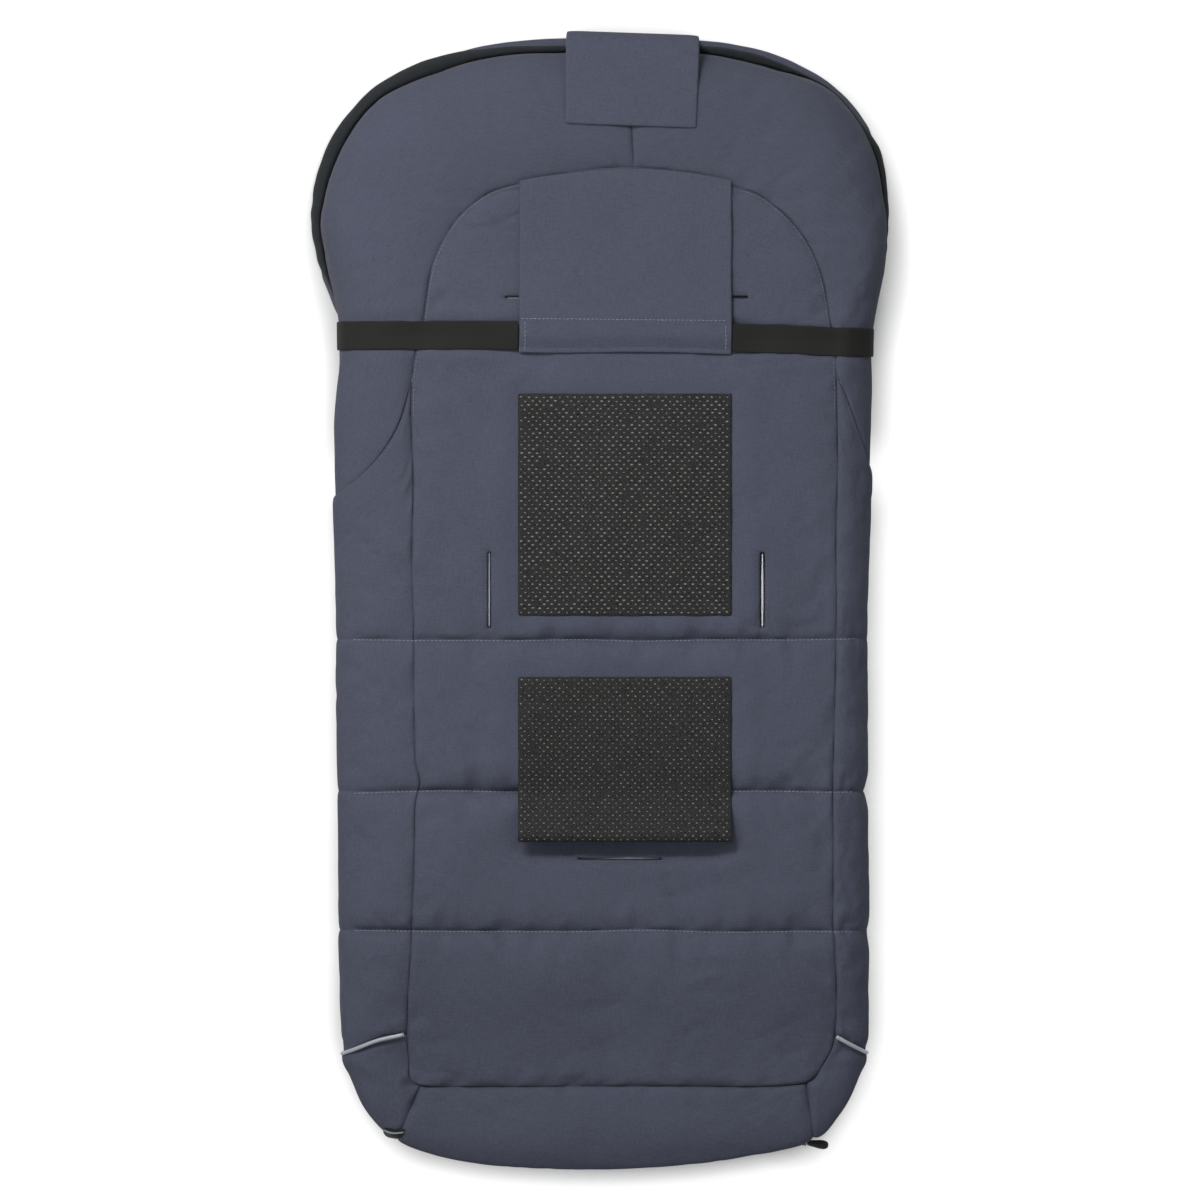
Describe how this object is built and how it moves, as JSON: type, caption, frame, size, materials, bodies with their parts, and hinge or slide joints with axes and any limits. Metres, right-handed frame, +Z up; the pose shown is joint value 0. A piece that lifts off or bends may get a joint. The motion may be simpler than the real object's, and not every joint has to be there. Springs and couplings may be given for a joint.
{
  "type": "stroller footmuff",
  "caption": "Padded stroller footmuff lying on its front: quilted back with harness slots and grip pads, hood, backrest flap with elastic strap, zip-off front cover.",
  "frame": {"origin": "centre of the footprint on the surface that the footmuff lies on, under the middle of its length", "axes": "+X to the right seen from above, +Y towards the head end (hood), +Z up, out of the quilted back"},
  "size_m": [0.5064, 1.0009, 0.1068],
  "materials": {
    "shell": "matt heathered slate grey woven polyester",
    "fleece": "matt off-white fleece",
    "rim": "matt near-black knitted binding",
    "grip_mesh": "black mesh with rows of small silicone dots",
    "reflective": "light grey reflective piping",
    "black_webbing": "matt black ribbed elastic",
    "zip_tape": "black zip tape with nylon coil",
    "hook_tape": "black hook and loop tape",
    "ribbon": "grey ribbon",
    "zip_metal": "black painted zinc",
    "rubber": "soft black rubber"
  },
  "bodies": {
    "muff": {"back_quilt": "shell", "back_lining": "fleece", "gusset_left": "shell", "gusset_right": "shell", "gusset_lining_left": "fleece", "gusset_lining_right": "fleece", "hood_left": "shell", "hood_right": "shell", "hood_lining_left": "fleece", "hood_lining_right": "fleece", "hood_rim_binding": "rim", "foot_end_panel": "shell", "foot_corner_left": "shell", "foot_corner_right": "shell", "foot_lining": "fleece", "upper_grip_pad": "grip_mesh", "lower_grip_pad": "grip_mesh", "piping_left": "reflective", "piping_right": "reflective", "harness_slot_left_binding": "fleece", "harness_slot_right_binding": "fleece", "crotch_slot_binding": "fleece", "shoulder_slit_binding": "fleece", "side_zip_left_body_half": "zip_tape", "side_zip_right_body_half": "zip_tape", "foot_zip_end_half": "zip_tape", "hood_loop_tape": "hook_tape", "strap_left": "black_webbing", "strap_right": "black_webbing"},
    "front_cover": {"cover_quilt": "shell", "cover_lining": "fleece", "cover_hem_binding": "rim", "side_zip_left_cover_half": "zip_tape", "side_zip_right_cover_half": "zip_tape"},
    "foot_cover": {"foot_cover_quilt": "shell", "foot_zip_cover_half": "zip_tape"},
    "left_slider": {"side_slider_left": "zip_metal"},
    "left_pull": {"side_pull_left": "zip_metal"},
    "right_slider": {"side_slider_right": "zip_metal"},
    "right_pull": {"side_pull_right": "zip_metal"},
    "foot_zip_slider": {"foot_slider": "zip_metal"},
    "foot_pull": {"foot_pull_ribbon": "ribbon", "foot_pull_grip": "rubber"},
    "backrest_flap": {"backrest_flap": "shell", "strap_middle": "black_webbing"},
    "top_flap": {"top_flap": "shell", "top_flap_hook_tape": "hook_tape"}
  },
  "joints": [
    {"name": "cover_open", "type": "hinge", "parent": "muff", "child": "front_cover", "pos_m": [0, -0.392, 0], "axis": [-1, 0, 0], "range_deg": [0, 100]},
    {"name": "foot_cover_open", "type": "hinge", "parent": "muff", "child": "foot_cover", "pos_m": [0, -0.392, 0], "axis": [1, 0, 0], "range_deg": [0, 45]},
    {"name": "left_zip_travel", "type": "slide", "parent": "muff", "child": "left_slider", "axis": [0, -1, 0], "range_m": [0, 0.46]},
    {"name": "left_pull_swing", "type": "hinge", "parent": "left_slider", "child": "left_pull", "pos_m": [-0.2289, 0.088, 0.021], "axis": [0, 0, -1], "range_deg": [0, 150]},
    {"name": "right_zip_travel", "type": "slide", "parent": "muff", "child": "right_slider", "axis": [0, -1, 0], "range_m": [0, 0.46]},
    {"name": "right_pull_swing", "type": "hinge", "parent": "right_slider", "child": "right_pull", "pos_m": [0.2329, 0.088, 0.021], "axis": [0, 0, 1], "range_deg": [0, 150]},
    {"name": "foot_zip_travel", "type": "hinge", "parent": "muff", "child": "foot_zip_slider", "pos_m": [0.005, 0.254, 0.021], "axis": [0, 0, -1], "range_deg": [0, 24]},
    {"name": "foot_pull_swing", "type": "hinge", "parent": "foot_zip_slider", "child": "foot_pull", "pos_m": [0.16836, -0.47687, 0.021], "axis": [0, 0, -1], "range_deg": [-15, 130]},
    {"name": "backrest_flap_lift", "type": "hinge", "parent": "muff", "child": "backrest_flap", "pos_m": [0, 0.385, 0.088], "axis": [-1, 0, 0], "range_deg": [0, 20], "deforming": ["strap_left", "strap_right"]},
    {"name": "top_flap_lift", "type": "hinge", "parent": "muff", "child": "top_flap", "pos_m": [0, 0.4992, 0.004], "axis": [-1, 0, 0], "range_deg": [0, 100]}
  ]
}
